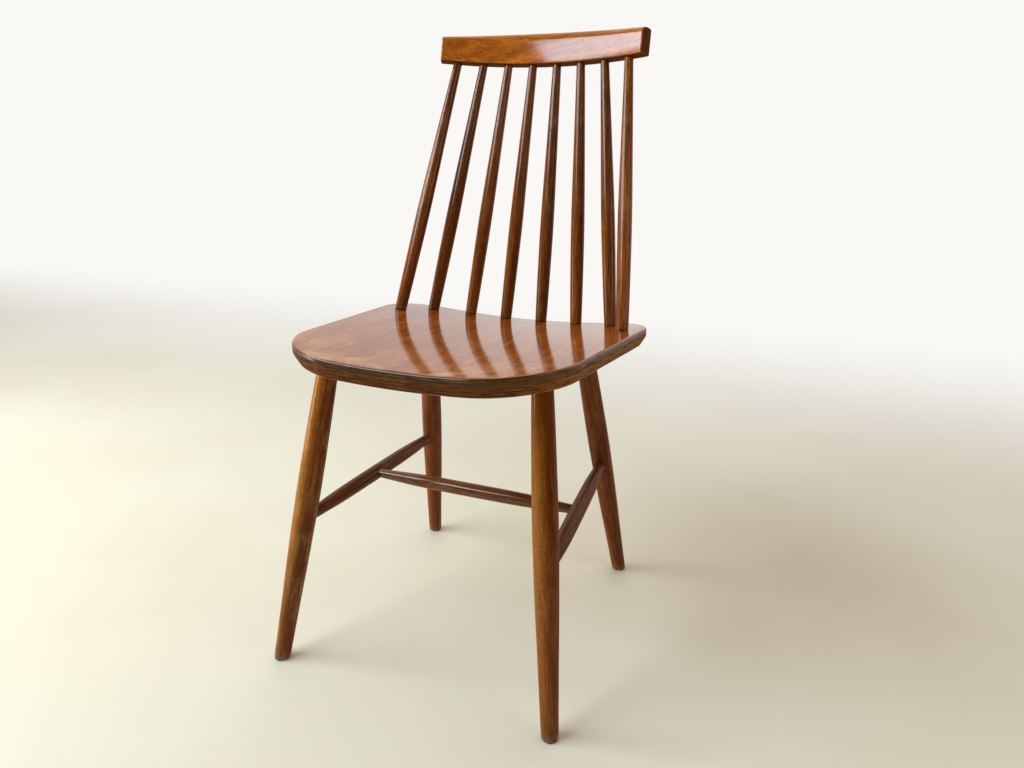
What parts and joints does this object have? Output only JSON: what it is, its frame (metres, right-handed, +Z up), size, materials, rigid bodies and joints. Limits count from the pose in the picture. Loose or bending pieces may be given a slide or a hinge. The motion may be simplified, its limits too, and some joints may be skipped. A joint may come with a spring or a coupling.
{
  "type": "spindle-back dining chair",
  "caption": "Wooden dining chair with a laminated, slightly dished seat, a curved crest rail on slender turned spindles, and splayed turned legs joined by stretchers",
  "frame": {"origin": "centre of the bounding box in plan, on the floor", "axes": "+Z up, the front of the chair faces -Y, +X is the sitter's left"},
  "size_m": [0.423, 0.5122, 0.8418],
  "materials": {
    "seat_face": "satin-gloss clear lacquer over stained veneer, with wear",
    "seat_core": "stained and lacquered plywood edge",
    "crest": "gloss clear lacquer over stained wood",
    "spindles": "gloss clear lacquer over stained wood",
    "legs": "gloss clear lacquer over stained wood, worn in places",
    "stretchers": "gloss clear lacquer over stained wood"
  },
  "bodies": {
    "root": {"seat_top_veneer": "seat_face", "seat_core_ply_1": "seat_core", "seat_core_ply_2": "seat_core", "seat_core_ply_3": "seat_core", "seat_core_ply_4": "seat_core", "seat_core_ply_5": "seat_core", "seat_core_ply_6": "seat_core", "seat_core_ply_7": "seat_core", "seat_core_ply_8": "seat_core", "seat_core_ply_9": "seat_core", "seat_bottom_veneer": "seat_face", "crest_rail": "crest", "back_spindle_1": "spindles", "back_spindle_2": "spindles", "back_spindle_3": "spindles", "back_spindle_4": "spindles", "back_spindle_5": "spindles", "back_spindle_6": "spindles", "back_spindle_7": "spindles", "back_spindle_8": "spindles", "front_left_leg": "legs", "front_right_leg": "legs", "rear_left_leg": "legs", "rear_right_leg": "legs", "left_side_stretcher": "stretchers", "right_side_stretcher": "stretchers", "cross_stretcher": "stretchers"}
  },
  "joints": []
}
